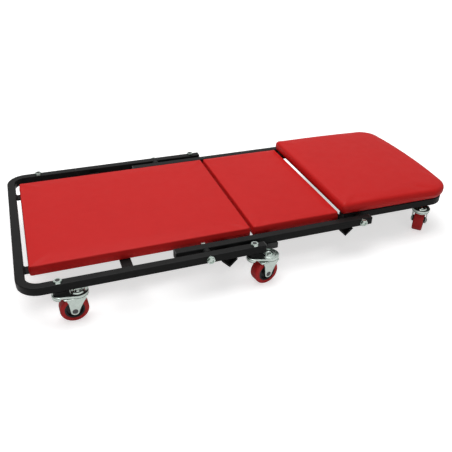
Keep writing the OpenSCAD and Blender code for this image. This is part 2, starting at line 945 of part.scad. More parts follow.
module middle_cross_tube() {
    color(FRAME_BLACK)
        translate([cross_x, mid_y, rail_z - cross_h / 2])
            rotate([90, 0, 0])
                linear_extrude(2 * mid_y)
                    translate([cross_w / 2, 0])
                        tube_section(cross_w, cross_h);
}

module middle_stop_bar() {
    color(FRAME_BLACK) difference() {
        angle_bar(mid_stop_x, mid_y);
        for (side = [-1, 1])
            translate([mid_stop_x, side * seat_rail_y - tube / 2 - stop_window, rail_z - face_gap])
                cube([stop_leg, tube + 2 * stop_window, cut]);
    }
}

module middle_pad_straps() {
    end_x = mid_stop_x - stop_half + stop_t * sqrt(2) + mid_strap_lap;
    color(FRAME_BLACK) difference() {
        for (side = [-1, 1])
            translate([cross_x, side * strap_y - strap_w / 2, strap_z])
                cube([end_x - cross_x, strap_w, strap_t]);
        for (at = mid_screw_at)
            for (side = [-1, 1])
                translate([mid_pad_x + at, side * strap_y, strap_z - cut])
                    cylinder(r = screw_hole_r, h = strap_t + 2 * cut);
    }
}

module cross_tube_plug(side) {
    in_w = cross_w - 2 * tube_wall - 2 * plug_fit;
    in_h = cross_h - 2 * tube_wall - 2 * plug_fit;
    translate([cross_x + cross_w / 2, side * mid_y, rail_z - cross_h / 2])
        rotate([0, 0, side > 0 ? 0 : 180]) {
            translate([0, plug_cap_t, 0])
                rotate([90, 0, 0])
                    linear_extrude(plug_cap_t)
                        round_section(cross_w, cross_h);
            translate([-in_w / 2, -plug_deep, -in_h / 2])
                cube([in_w, plug_deep, in_h]);
        }
}

module middle_end_plugs() {
    color(PLUG_BLACK)
        for (side = [-1, 1]) {
            tube_plug(back_x - back_tail, side * (mid_y - tube / 2), -1);
            tube_plug(seat_x + front_tail, side * (mid_y - tube / 2), 1);
            cross_tube_plug(side);
        }
}

module middle_pad_board() {
    pad_board(mid_pad_x + flat_bulge, board_z, mid_pad_len - 2 * flat_bulge, pad_half - flat_bulge,
        pad_corner_r, 0,
        [for (at = mid_screw_at) for (side = [-1, 1])
            [mid_pad_x + at, side * strap_y, screw_r + pilot_fit, screw_bite]]);
}

module middle_pad_cushion() {
    color(VINYL_RED)
        translate([mid_pad_x + flat_bulge, 0, board_z])
            cushion(mid_pad_len - 2 * flat_bulge, pad_half - flat_bulge, pad_corner_r, pad_corner_r, 0,
                flat_foam_h, flat_crown, flat_bulge, flat_foam_h * flat_roll_share);
}

module middle_pad_screws() {
    color(ZINC)
        for (at = mid_screw_at)
            for (side = [-1, 1])
                pad_screw(mid_pad_x + at, side * strap_y, strap_z, strap_t);
}

module seat_pivot_bolts() {
    color(ZINC)
        for (side = [-1, 1])
            pivot_bolt(seat_x, mid_y, seat_y - tube, side);
}

module seat_pivot_spacers() {
    color(FRAME_BLACK)
        for (side = [-1, 1])
            pivot_spacer(seat_x, mid_y - tube, side);
}

module seat_frame() {
    color(FRAME_BLACK) difference() {
        bent_frame(seat_end_x, seat_x - seat_tail, seat_y, 1);
        for (side = [-1, 1])
            hole_y(seat_x, side * seat_rail_y - tube / 2, side * seat_rail_y + tube / 2,
                bolt_r + running_gap);
    }
}

module seat_cross_tube() {
    color(FRAME_BLACK) difference() {
        tube_y(-seat_y + tube, seat_y - tube, seat_swivel_x);
        for (c = SEAT_CASTERS)
            hole_z(bolt_x(c), bolt_y(c), bolt_r + bolt_fit);
        for (side = [-1, 1])
            hole_z(seat_swivel_x, side * seat_screw_y, screw_hole_r);
    }
}

module seat_cross_strap() {
    color(FRAME_BLACK) difference() {
        translate([seat_strap_x - strap_w / 2, -seat_y + tube, rail_top - strap_t])
            cube([strap_w, 2 * (seat_y - tube), strap_t]);
        for (side = [-1, 1])
            translate([seat_strap_x, side * seat_screw_y, rail_top - strap_t - cut])
                cylinder(r = screw_hole_r, h = strap_t + 2 * cut);
    }
}

module seat_end_plugs() {
    color(PLUG_BLACK)
        for (side = [-1, 1])
            tube_plug(seat_x - seat_tail, side * seat_rail_y, -1);
}

module seat_pad_board() {
    nut_room_r = hex_r + cut;
    pad_board(seat_pad_x + seat_bulge, rail_top, seat_board_len, seat_half, seat_corner_r, seat_end_bow,
        concat(
            [for (x = [seat_strap_x, seat_swivel_x]) for (side = [-1, 1])
                [x, side * seat_screw_y, screw_r + pilot_fit, screw_bite]],
            [for (c = SEAT_CASTERS) [bolt_x(c), bolt_y(c), nut_room_r, board_t + cut]]
        ));
}

module seat_pad_cushion() {
    color(VINYL_RED)
        translate([seat_pad_x + seat_bulge, 0, rail_top])
            cushion(seat_board_len, seat_half, pad_corner_r, seat_corner_r, seat_end_bow,
                seat_foam_h, seat_crown, seat_bulge, seat_foam_h * seat_roll_share);
}

module seat_pad_screws() {
    color(ZINC)
        for (side = [-1, 1]) {
            pad_screw(seat_strap_x, side * seat_screw_y, rail_top - strap_t, strap_t);
            pad_screw(seat_swivel_x, side * seat_screw_y, rail_z, tube);
        }
}

module seat_caster_blocks() {
    color(FRAME_BLACK)
        for (c = SEAT_CASTERS)
            caster_block(c);
}

module seat_caster_arms() {
    color(ZINC)
        for (c = SEAT_CASTERS) {
            caster_arm(c);
            caster_plate(c);
        }
}

module seat_caster_balls() {
    color(STEEL)
        for (c = SEAT_CASTERS)
            caster_balls(c);
}

module seat_caster_bolts() {
    color(ZINC)
        for (c = SEAT_CASTERS)
            caster_bolt(c);
}

module seat_kingpins() {
    color(ZINC)
        for (c = SEAT_CASTERS)
            kingpin(c);
}

base_frame();
base_stop_bar();
base_pad_straps();
base_end_plugs();
long_pad_board();
long_pad_cushion();
long_pad_screws();
base_caster_blocks();
base_caster_arms();
base_caster_balls();
base_caster_bolts();
base_kingpins();
back_pivot_bolts();
back_pivot_spacers();
middle_rails();
middle_cross_tube();
middle_stop_bar();
middle_pad_straps();
middle_end_plugs();
middle_pad_board();
middle_pad_cushion();
middle_pad_screws();
seat_pivot_bolts();
seat_pivot_spacers();
seat_frame();
seat_cross_tube();
seat_cross_strap();
seat_end_plugs();
seat_pad_board();
seat_pad_cushion();
seat_pad_screws();
seat_caster_blocks();
seat_caster_arms();
seat_caster_balls();
seat_caster_bolts();
seat_kingpins();
caster_fork(HEAD_NEAR);  // head_near_fork
caster_axle(HEAD_NEAR);  // head_near_axle
caster_hub(HEAD_NEAR);  // head_near_hub
caster_tyre(HEAD_NEAR);  // head_near_tyre
caster_fork(HEAD_FAR);  // head_far_fork
caster_axle(HEAD_FAR);  // head_far_axle
caster_hub(HEAD_FAR);  // head_far_hub
caster_tyre(HEAD_FAR);  // head_far_tyre
caster_fork(CENTRE_NEAR);  // centre_near_fork
caster_axle(CENTRE_NEAR);  // centre_near_axle
caster_hub(CENTRE_NEAR);  // centre_near_hub
caster_tyre(CENTRE_NEAR);  // centre_near_tyre
caster_fork(CENTRE_FAR);  // centre_far_fork
caster_axle(CENTRE_FAR);  // centre_far_axle
caster_hub(CENTRE_FAR);  // centre_far_hub
caster_tyre(CENTRE_FAR);  // centre_far_tyre
caster_fork(SEAT_NEAR);  // seat_near_fork
caster_axle(SEAT_NEAR);  // seat_near_axle
caster_hub(SEAT_NEAR);  // seat_near_hub
caster_tyre(SEAT_NEAR);  // seat_near_tyre
caster_fork(SEAT_FAR);  // seat_far_fork
caster_axle(SEAT_FAR);  // seat_far_axle
caster_hub(SEAT_FAR);  // seat_far_hub
caster_tyre(SEAT_FAR);  // seat_far_tyre
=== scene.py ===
"""Looks of the folding creeper seat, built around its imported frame. Metres, +Z up, near side at -Y."""

import json
import math

import bpy
from mathutils import Matrix, Vector

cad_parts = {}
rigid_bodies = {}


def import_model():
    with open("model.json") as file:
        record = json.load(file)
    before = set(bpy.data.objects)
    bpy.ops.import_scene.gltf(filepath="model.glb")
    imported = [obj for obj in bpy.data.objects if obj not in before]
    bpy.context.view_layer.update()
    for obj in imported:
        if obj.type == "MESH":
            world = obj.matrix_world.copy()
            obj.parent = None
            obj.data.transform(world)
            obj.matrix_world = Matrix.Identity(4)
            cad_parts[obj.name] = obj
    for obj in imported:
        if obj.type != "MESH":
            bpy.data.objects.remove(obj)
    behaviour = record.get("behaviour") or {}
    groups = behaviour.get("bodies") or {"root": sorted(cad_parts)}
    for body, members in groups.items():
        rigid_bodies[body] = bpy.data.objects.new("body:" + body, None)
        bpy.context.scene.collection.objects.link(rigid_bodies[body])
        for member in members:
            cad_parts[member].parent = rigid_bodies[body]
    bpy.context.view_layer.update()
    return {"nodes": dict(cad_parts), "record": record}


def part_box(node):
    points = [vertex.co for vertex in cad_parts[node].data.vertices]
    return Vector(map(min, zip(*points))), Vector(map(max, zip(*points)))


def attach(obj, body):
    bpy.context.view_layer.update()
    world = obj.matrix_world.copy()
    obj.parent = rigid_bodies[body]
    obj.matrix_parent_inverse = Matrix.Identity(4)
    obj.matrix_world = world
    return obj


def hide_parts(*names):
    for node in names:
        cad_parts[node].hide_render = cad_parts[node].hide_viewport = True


MM = 0.001

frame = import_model()

# Camera, as fitted to the photograph: its place and its three axes
CAMERA_AT = (-387.6 * MM, -1004.1 * MM, 669.0 * MM)
CAMERA_RIGHT = (0.939678, -0.341333, 0.022302)
CAMERA_UP = (0.163662, 0.505890, 0.846930)
CAMERA_BACK = (-0.300367, -0.792191, 0.531237)
CAMERA_LENS = 44.95
CAMERA_SENSOR = 36.0
CAMERA_FAR = 20.0

# Linear colours of the surfaces
VINYL = (0.600, 0.017, 0.016)
VINYL_DEEP = (0.510, 0.012, 0.011)
PAINT = (0.008, 0.008, 0.008)
PAINT_DULL = (0.014, 0.014, 0.014)
PAINT_WORN = (0.030, 0.030, 0.031)
ZINC = (0.62, 0.70, 0.65)
ZINC_DARK = (0.45, 0.52, 0.48)
ZINC_SPANGLE = (0.74, 0.82, 0.77)
TREAD = (0.500, 0.016, 0.017)
TREAD_DUST = (0.330, 0.028, 0.026)
CORE = (0.010, 0.010, 0.011)
PLUG = (0.020, 0.020, 0.020)
BOARD = (0.330, 0.210, 0.110)
BOARD_DARK = (0.190, 0.110, 0.055)
AXLE = (0.115, 0.115, 0.120)
BALL = (0.70, 0.70, 0.72)
STAPLE = (0.55, 0.55, 0.56)
WHITE = (1, 1, 1, 1)
MOULDED_LIGHTER = 2.0
STEEL_DARKER = 0.6
STEEL_SHARES = (0.8, 1.4)

# Floor: half its side, its own colour, its glow to the camera from near to far, and how far that is
FLOOR_HALF = 12.0
FLOOR_PALE = (0.70, 0.70, 0.70, 1)
FLOOR_GLOW = (0.62, 1.0)
FLOOR_FADE = (0.7, 2.4)
FLOOR_MIRRORED = 0.25

# World: its light, what bright surfaces mirror from the horizon up, and the height where that ends
WORLD_LIGHT = 0.16
ROOM_MIRRORED = (0.22, 0.95)
ROOM_TOP = 0.8

# Lamps: name, place, aim, size and watts
SOFTBOXES = [
    ("overhead", (-0.25, 0.5, 2.6), (0.0, 0.0, 0.0), (2.6, 2.2), 65.0),
    ("front_fill", (0.0, -2.6, 1.1), (0.0, 0.0, 0.05), (1.6, 1.0), 9.0),
]

# Sockets of a Mix node that mixes colours
MIX_A, MIX_B, MIX_OUT = 6, 7, 2

# Outline of a pad: size of the cover's mesh, steps of an arc and of a bowed side
CELL = 5.5 * MM
LEAST_CELLS = 8
LEAST_R = 0.6 * MM
ARC_STEPS = 8
BOW_STEPS = 24
ARC_START = {(-1, -1): 180, (1, -1): 270, (1, 1): 0, (-1, 1): 90}
ALL_CORNERS = [(-1, -1), (1, -1), (1, 1), (-1, 1)]
TINY = 1e-9

# Cover of a pad: rolled edge, side, and the hem that is folded under the board
CROWN_POWER = 2.6
ROLL_STEPS = 4
SIDE_SHARES = (0.20, 0.40, 0.58, 0.74, 0.88)
SIDE_HELD, SIDE_HELD_MORE = 0.15, 0.6
HEM = 24 * MM
HEM_T = 0.4 * MM
COVER_IN = 2.5 * MM
# Rows of the hem: share of the side's tuck, further inset, height over the board's underside
HEM_ROWS = [
    (0.80, 0.0, 0.9 * MM),
    (1.0, 1.2 * MM, -0.1 * MM),
    (1.0, 3.0 * MM, -HEM_T),
    (1.0, HEM * 0.55, -HEM_T),
    (1.0, HEM, -HEM_T),
    (1.0, HEM + 0.4 * MM, 0.0),
    (1.0, COVER_IN, 0.02 * MM),
]
HEM_SEEN = 0.05 * MM
HEM_GAP = 0.5 * MM
HEM_LIFTED = 0.03 * MM
UNDER_PAD = (-1 * MM, 0.2 * MM)

# Cloth simulation of the covers
SIM_FRAMES = 20
CLOTH = {
    "quality": 6,
    "mass": 0.25,
    "tension_stiffness": 30,
    "compression_stiffness": 30,
    "shear_stiffness": 12,
    "bending_stiffness": 1.2,
    "use_pressure": True,
    "uniform_pressure_force": 4.0,
    "vertex_group_mass": "held",
    "pin_stiffness": 1.0,
}

# Gathers at the corners: how far past the arc they run, and how fast they deepen
GATHER_PAST = 0.25
GATHER_GROWTH = 1.4
GATHER_WAVES = 4
GATHER_LOW = 0.5 * MM

# Staples in the hem, and their bent profile: half widths along and thicknesses up
STAPLE_GAP = 28 * MM
STAPLE_IN = 13 * MM
STAPLE_W = 10 * MM
STAPLE_T = 0.6 * MM
STAPLE_CLEAR = 1 * MM
STAPLE_BEND = ((-1, 0.5), (-0.92, -1), (0.92, -1), (1, 0.5))
STAPLE_RISE = 0.6
STAPLE_SHELL = 0.8

# Rolled end of a caster's arm, round its bolt: section as (further out, height) in millimetres
ARM_REACH = 45 * MM
NOSE_R = 13.0 * MM
NOSE_TURN = 104
NOSE_EASE = 22
NOSE_STEPS = 36
NOSE_END = 0.25
NOSE_T = 1.0 * MM
NOSE_SECTION = [
    (-0.3, 58.3), (0.8, 57.2), (1.4, 55.2), (1.5, 52.8),
    (1.0, 50.8), (-0.3, 49.3), (-2.2, 48.5), (-4.0, 48.6),
]

# Dark disc in the mouth of a lock nut, drawn as a solid nylon insert over the bolt end, that paints the shade
# of the nut's bore: radius, depths of its two ends under the nut's top, and its sides
BORE_SHADE_R = 3.85 * MM
BORE_SHADE_LOW = 1.4 * MM
BORE_SHADE_HIGH = 0.25 * MM
BORE_SHADE_SIDES = 24

# The three pads; reach says how far a cover stands past its CAD cushion's box, left and right.
# Corners: side in X, side in Y, folds of the gather, its depth
FLAT_PAD = {
    "bow": 0.0,
    "edge_drop": 2.6 * MM,
    "roll": 2.8 * MM,
    "crown": 1.6 * MM,
    "tuck": 1.2 * MM,
    "cap": 1.4 * MM,
    "fill": 0.8,
    "corners": [(sx, sy, 2, 0.4 * MM) for sx, sy in ALL_CORNERS],
    "sag": 0.0,
}
LONG_PAD = {
    "name": "long_pad",
    "node": "long_pad_cushion",
    "body": "base",
    "under": ["base_frame", "base_pad_straps", "base_stop_bar"],
    "reach": (2.5 * MM, 1.0 * MM),
    "left_r": 2.5 * MM,
    "right_r": 2.0 * MM,
    **FLAT_PAD,
}
MIDDLE_PAD = {
    "name": "middle_pad",
    "node": "middle_pad_cushion",
    "body": "middle",
    "under": ["middle_cross_tube", "middle_pad_straps", "middle_stop_bar"],
    "reach": (1.0 * MM, 1.0 * MM),
    "left_r": 2.0 * MM,
    "right_r": 2.5 * MM,
    **FLAT_PAD,
}
SEAT_PAD = {
    "name": "seat_pad",
    "node": "seat_pad_cushion",
    "body": "seat",
    "under": ["seat_frame", "seat_cross_tube", "seat_cross_strap"],
    "reach": (7.0 * MM, 3.5 * MM),
    "left_r": 7 * MM,
    "right_r": 47 * MM,
    "bow": 4 * MM,
    "edge_drop": 0.4 * MM,
    "roll": 9.0 * MM,
    "crown": 2.4 * MM,
    "tuck": 11.0 * MM,
    "cap": 1.3 * MM,
    "fill": 0.85,
    "corners": [(1, -1, 5, 0.7 * MM), (1, 1, 5, 0.7 * MM), (-1, -1, 2, 0.4 * MM), (-1, 1, 2, 0.4 * MM)],
    "sag": 5 * MM,
}


def add_node(tree, kind, values=None, **settings):
    """New node of a shader tree, with its settings and the values of its sockets."""
    node = tree.nodes.new("ShaderNode" + kind)
    for name, value in settings.items():
        setattr(node, name, value)
    for socket, value in (values or {}).items():
        node.inputs[socket].default_value = value
    return node


def map_range(tree, value, target, source=(0.0, 1.0)):
    """Output that takes a value from one range to another."""
    ends = {"From Min": source[0], "From Max": source[1], "To Min": target[0], "To Max": target[1]}
    node = add_node(tree, "MapRange", ends)
    tree.links.new(value, node.inputs["Value"])
    return node.outputs["Result"]


class Paint:
    """A node material with one Principled shader and short calls for the textures that feed it."""

    def __init__(self, name, colour, roughness, metallic=0.0, specular=0.5):
        self.material = bpy.data.materials.new(name)
        self.material.use_nodes = True
        self.tree = self.material.node_tree
        self.shader = self.tree.nodes["Principled BSDF"]
        self.shader.inputs["Base Color"].default_value = (*colour, 1)
        self.shader.inputs["Roughness"].default_value = roughness
        self.shader.inputs["Metallic"].default_value = metallic
        self.shader.inputs["Specular IOR Level"].default_value = specular
        self.place = add_node(self.tree, "TexCoord").outputs["Object"]
        self.normal = None

    def link(self, a, b):
        self.tree.links.new(a, b)

    def noise(self, scale, detail=3.0, rough=0.5, stretch=None):
        node = add_node(self.tree, "TexNoise", {"Scale": scale, "Detail": detail, "Roughness": rough})
        place = self.place
        if stretch:
            mapping = add_node(self.tree, "Mapping", {"Scale": stretch})
            self.link(place, mapping.inputs["Vector"])
            place = mapping.outputs["Vector"]
        self.link(place, node.inputs["Vector"])
        return node.outputs["Fac"]

    def cells(self, scale, feature="F1", smooth=None):
        node = add_node(self.tree, "TexVoronoi", {"Scale": scale}, feature=feature)
        if smooth is not None:
            node.inputs["Smoothness"].default_value = smooth
        self.link(self.place, node.inputs["Vector"])
        return node.outputs["Distance"]

    def ramp(self, value, stops):
        """Grey ramp; a stop is its place and its grey."""
        node = add_node(self.tree, "ValToRGB")
        self.link(value, node.inputs["Fac"])
        for element, (at, grey) in zip(node.color_ramp.elements, stops):
            element.position = at
            element.color = (grey, grey, grey, 1)
        return node.outputs["Color"]

    def mix(self, share, a, b):
        node = add_node(self.tree, "Mix", data_type="RGBA")
        self.link(share, node.inputs["Factor"])
        for socket, value in ((node.inputs[MIX_A], a), (node.inputs[MIX_B], b)):
            if isinstance(value, tuple):
                socket.default_value = (*value, 1)
            else:
                self.link(value, socket)
        return node.outputs[MIX_OUT]

    def colour(self, value):
        self.link(value, self.shader.inputs["Base Color"])

    def roughness(self, value, low, high):
        self.link(map_range(self.tree, value, (low, high)), self.shader.inputs["Roughness"])

    def bump(self, value, strength, depth):
        """Bump on top of the bumps before it."""
        node = add_node(self.tree, "Bump", {"Strength": strength, "Distance": depth})
        self.link(value, node.inputs["Height"])
        if self.normal:
            self.link(self.normal, node.inputs["Normal"])
        self.normal = node.outputs["Normal"]
        self.link(self.normal, self.shader.inputs["Normal"])


def painted_frame():
    p = Paint("frame_black", PAINT, roughness=0.36, specular=0.085)
    patches = p.noise(38, detail=4)
    chips = p.ramp(p.noise(420, detail=5, rough=0.7), [(0.70, 0.0), (0.76, 1.0)])
    p.colour(p.mix(chips, p.mix(patches, PAINT, PAINT_DULL), PAINT_WORN))
    p.roughness(patches, low=0.28, high=0.48)
    p.bump(p.noise(1500, detail=2), strength=0.10, depth=0.0002)
    p.bump(p.noise(120, detail=2), strength=0.06, depth=0.0006)
    return p.material


def vinyl():
    p = Paint("vinyl_red", VINYL, roughness=0.44, specular=0.12)
    cloud = p.noise(9, detail=3)
    fade = p.noise(60, detail=4, rough=0.6)
    p.colour(p.mix(fade, p.mix(cloud, VINYL, VINYL_DEEP), VINYL))
    p.roughness(p.noise(45, detail=4), low=0.36, high=0.52)
    grain = p.cells(620, feature="SMOOTH_F1", smooth=0.6)
    p.bump(p.ramp(grain, [(0.05, 1.0), (0.55, 0.0)]), strength=0.20, depth=0.00022)
    p.bump(p.noise(1900, detail=3), strength=0.08, depth=0.0001)
    p.bump(p.noise(16, detail=2), strength=0.14, depth=0.0035)
    return p.material


def zinc_plate():
    p = Paint("zinc", ZINC, roughness=0.30, metallic=1.0)
    spangle = p.cells(210)
    cloud = p.noise(90, detail=4)
    p.colour(p.mix(cloud, p.mix(spangle, ZINC, ZINC_SPANGLE), ZINC_DARK))
    p.roughness(p.noise(260, detail=4), low=0.12, high=0.28)
    p.bump(p.noise(900, detail=3, stretch=(1, 1, 0.3)), strength=0.06, depth=0.0002)
    return p.material


def tread_red():
    p = Paint("tyre_red", TREAD, roughness=0.46, specular=0.25)
    dust = p.ramp(p.noise(140, detail=5, rough=0.65), [(0.50, 0.0), (0.78, 1.0)])
    p.colour(p.mix(dust, TREAD, TREAD_DUST))
    p.roughness(p.noise(220, detail=4), low=0.38, high=0.62)
    p.bump(p.noise(700, detail=4), strength=0.12, depth=0.0003)
    return p.material


def moulded(name, colour, low, high):
    p = Paint(name, colour, roughness=low, specular=0.4)
    lighter = tuple(MOULDED_LIGHTER * c for c in colour)
    p.colour(p.mix(p.noise(180, detail=4), colour, lighter))
    p.roughness(p.noise(240, detail=3), low, high)
    p.bump(p.noise(1600, detail=2), strength=0.15, depth=0.0002)
    return p.material


def fibreboard():
    p = Paint("board", BOARD, roughness=0.85, specular=0.2)
    fleck = p.noise(900, detail=5, rough=0.7)
    band = p.noise(40, detail=3, stretch=(1, 6, 1))
    p.colour(p.mix(fleck, p.mix(band, BOARD, BOARD_DARK), BOARD_DARK))
    p.bump(fleck, strength=0.35, depth=0.0004)
    return p.material


def bare_steel(name, colour, roughness):
    p = Paint(name, colour, roughness, metallic=1.0)
    darker = tuple(STEEL_DARKER * c for c in colour)
    p.colour(p.mix(p.noise(300, detail=4), colour, darker))
    p.roughness(p.noise(500, detail=3), *(share * roughness for share in STEEL_SHARES))
    p.bump(p.noise(1200, detail=2), strength=0.08, depth=0.0002)
    return p.material


MATERIALS = {
    "frame_black": painted_frame(),
    "vinyl_red": vinyl(),
    "zinc": zinc_plate(),
    "tyre_red": tread_red(),
    "core_black": moulded("core_black", CORE, low=0.40, high=0.60),
    "plug_black": moulded("plug_black", PLUG, low=0.50, high=0.70),
    "board": fibreboard(),
    "axle_steel": bare_steel("axle_steel", AXLE, roughness=0.35),
    "ball_steel": bare_steel("ball_steel", BALL, roughness=0.12),
    "staple": bare_steel("staple", STAPLE, roughness=0.30),
}


def dress_cad():
    """Gives every CAD node the material of its slot."""
    for part in frame["record"]["subparts"]:
        node = frame["nodes"][part["node"]]
        node.data.materials.clear()
        node.data.materials.append(MATERIALS[part["material_slot"]])


def add_camera():
    data = bpy.data.cameras.new("camera")
    data.lens = CAMERA_LENS
    data.sensor_width = CAMERA_SENSOR
    data.clip_end = CAMERA_FAR
    camera = bpy.data.objects.new("camera", data)
    turn = Matrix((CAMERA_RIGHT, CAMERA_UP, CAMERA_BACK)).transposed().to_4x4()
    camera.matrix_world = Matrix.Translation(CAMERA_AT) @ turn
    bpy.context.scene.collection.objects.link(camera)
    bpy.context.scene.camera = camera


def light(tree, kind, strength):
    """White emission or background; its strength is a number or another node's output."""
    node = add_node(tree, kind, {"Color": WHITE})
    if isinstance(strength, float):
        node.inputs["Strength"].default_value = strength
    else:
        tree.links.new(strength, node.inputs["Strength"])
    return node.outputs[0]


def choose(tree, share, plain, chosen):
    """Mix of two shaders: the first where the share is 0, the second where it is 1."""
    node = add_node(tree, "MixShader")
    for output, socket in zip((share, plain, chosen), node.inputs):
        tree.links.new(output, socket)
    return node.outputs["Shader"]


def floor_material():
    """Diffuse floor with a glow that only the camera and mirrors see; clear when seen from below."""
    material = bpy.data.materials.new("floor")
    material.use_nodes = True
    tree = material.node_tree
    tree.nodes.clear()
    away = add_node(tree, "VectorMath", operation="LENGTH")
    tree.links.new(add_node(tree, "TexCoord").outputs["Object"], away.inputs[0])
    rise = map_range(tree, away.outputs["Value"], FLOOR_GLOW, FLOOR_FADE)
    ray = add_node(tree, "LightPath").outputs
    dark, mirrored = light(tree, "Emission", 0.0), light(tree, "Emission", FLOOR_MIRRORED)
    glow = choose(tree, ray["Is Glossy Ray"], dark, mirrored)
    glow = choose(tree, ray["Is Camera Ray"], glow, light(tree, "Emission", rise))
    both = add_node(tree, "AddShader")
    tree.links.new(add_node(tree, "BsdfDiffuse", {"Color": FLOOR_PALE}).outputs["BSDF"], both.inputs[0])
    tree.links.new(glow, both.inputs[1])
    back = add_node(tree, "NewGeometry").outputs["Backfacing"]
    clear = add_node(tree, "BsdfTransparent").outputs["BSDF"]
    out = add_node(tree, "OutputMaterial")
    tree.links.new(choose(tree, back, both.outputs["Shader"], clear), out.inputs["Surface"])
    return material


def add_floor():
    h = FLOOR_HALF
    mesh = bpy.data.meshes.new("floor")
    mesh.from_pydata([(-h, -h, 0), (h, -h, 0), (h, h, 0), (-h, h, 0)], [], [(0, 1, 2, 3)])
    mesh.materials.append(floor_material())
    floor = bpy.data.objects.new("floor", mesh)
    bpy.context.scene.collection.objects.link(floor)


def add_world():
    """White to the camera, brighter upwards in mirrors, and a faint even light."""
    world = bpy.data.worlds.new("studio")
    bpy.context.scene.world = world
    world.use_nodes = True
    tree = world.node_tree
    tree.nodes.clear()
    split = add_node(tree, "SeparateXYZ")
    tree.links.new(add_node(tree, "TexCoord").outputs["Generated"], split.inputs["Vector"])
    rise = map_range(tree, split.outputs["Z"], ROOM_MIRRORED, (0.0, ROOM_TOP))
    ray = add_node(tree, "LightPath").outputs
    room, mirrored = light(tree, "Background", WORLD_LIGHT), light(tree, "Background", rise)
    seen = choose(tree, ray["Is Glossy Ray"], room, mirrored)
    seen = choose(tree, ray["Is Camera Ray"], seen, light(tree, "Background", 1.0))
    tree.links.new(seen, add_node(tree, "OutputWorld").inputs["Surface"])


def add_softboxes():
    for name, place, aim, size, power in SOFTBOXES:
        data = bpy.data.lights.new(name, "AREA")
        data.shape = "RECTANGLE"
        data.size, data.size_y = size
        data.energy = power
        lamp = bpy.data.objects.new(name, data)
        turn = (Vector(aim) - Vector(place)).to_track_quat("-Z", "Y").to_matrix().to_4x4()
        lamp.matrix_world = Matrix.Translation(place) @ turn
        bpy.context.scene.collection.objects.link(lamp)


def add_piece(name, points, faces, slot, body, smooth=True):
    mesh = bpy.data.meshes.new(name)
    mesh.from_pydata(points, [], faces)
    mesh.update()
    for polygon in mesh.polygons:
        polygon.use_smooth = smooth
    piece = bpy.data.objects.new(name, mesh)
    mesh.materials.append(MATERIALS[slot])
    bpy.context.scene.collection.objects.link(piece)
    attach(piece, body)
    return piece


def thicken(piece, thickness, offset):
    thick = piece.modifiers.new("thick", "SOLIDIFY")
    thick.thickness = thickness
    thick.offset = offset


class Outline:
    """Rounded outline of a pad, as one closed loop that starts at its near left corner."""

    def __init__(self, low, high, left_r, right_r, bow):
        self.low, self.high = low, high
        self.left_r, self.right_r, self.bow = left_r, right_r, bow
        self.across = max(LEAST_CELLS, round((high[0] - low[0]) / CELL))
        self.deep = max(LEAST_CELLS, round((high[1] - low[1]) / CELL))

    def corner(self, sx, sy, inset, share):
        """Point on a corner's arc; share runs 0 to 1 anticlockwise."""
        r = max((self.right_r if sx > 0 else self.left_r) - inset, LEAST_R)
        cx = (self.high[0] - inset - r) if sx > 0 else (self.low[0] + inset + r)
        cy = (self.high[1] - inset - r) if sy > 0 else (self.low[1] + inset + r)
        angle = math.radians(ARC_START[(sx, sy)] + 90 * share)
        return Vector((cx + r * math.cos(angle), cy + r * math.sin(angle)))

    def side(self, a, b, count, inset, bow=None):
        """From the middle of one corner's arc to the middle of the next, evenly spaced, without the end."""
        first = [self.corner(*a, inset, 0.5 + 0.5 * k / ARC_STEPS) for k in range(ARC_STEPS + 1)]
        last = [self.corner(*b, inset, 0.5 * k / ARC_STEPS) for k in range(ARC_STEPS + 1)]
        straight = []
        if bow is not None:
            for k in range(1, BOW_STEPS):
                t = k / BOW_STEPS
                straight.append(first[-1].lerp(last[0], t) + Vector((1, 0)) * bow * 4 * t * (1 - t))
        path = first + straight + last
        sums = [0.0]
        for p, q in zip(path, path[1:]):
            sums.append(sums[-1] + (q - p).length)
        points, k = [], 0
        for i in range(count):
            want = sums[-1] * i / count
            while sums[k + 1] < want:
                k += 1
            share = (want - sums[k]) / max(sums[k + 1] - sums[k], TINY)
            points.append(path[k].lerp(path[k + 1], share))
        return points

    def loop(self, inset=0.0):
        near = self.side((-1, -1), (1, -1), self.across, inset)
        right = self.side((1, -1), (1, 1), self.deep, inset, self.bow)
        far = self.side((1, 1), (-1, 1), self.across, inset)
        left = self.side((-1, 1), (-1, -1), self.deep, inset)
        return near + right + far + left


def coons(loop, nx, ny):
    """Grid of points inside a closed loop of 2 * (nx + ny) points."""
    near = loop[: nx + 1]
    right = loop[nx : nx + ny + 1]
    far = list(reversed(loop[nx + ny : 2 * nx + ny + 1]))
    left = list(reversed(loop[2 * nx + ny :] + loop[:1]))
    grid = []
    for j in range(ny + 1):
        v = j / ny
        row = []
        for i in range(nx + 1):
            u = i / nx
            straight = near[i].lerp(far[i], v) + left[j].lerp(right[j], u)
            corners = near[0].lerp(near[nx], u).lerp(far[0].lerp(far[nx], u), v)
            row.append(straight - corners)
        grid.append(row)
    return grid


def grid_border(nx, ny):
    """Places on the border of a grid of cells, in the order of a closed loop."""
    near = [(i, 0) for i in range(nx)]
    right = [(nx, j) for j in range(ny)]
    far = [(nx - i, ny) for i in range(nx)]
    left = [(0, ny - j) for j in range(ny)]
    return near + right + far + left


def cover_rings(base_z, board_t, edge_z, roll, tuck):
    """Rings from the top's edge down the side and round the hem: inset, height, and how far held."""
    rings = []
    for k in range(1, ROLL_STEPS + 1):
        a = math.radians(90 * k / ROLL_STEPS)
        rings.append((roll * (1 - math.sin(a)), edge_z - roll * (1 - math.cos(a)), 0.0))
    for share in SIDE_SHARES:
        drop = roll + (edge_z - base_z - roll) * share
        inset = tuck * (1 - math.sqrt(1 - share ** 2))
        rings.append((inset, edge_z - drop, SIDE_HELD + SIDE_HELD_MORE * share))
    for share, inset, rise in HEM_ROWS:
        rings.append((tuck * share + inset, base_z + rise, 1.0))
    rings.append((tuck + COVER_IN, base_z + board_t, 1.0))
    return rings


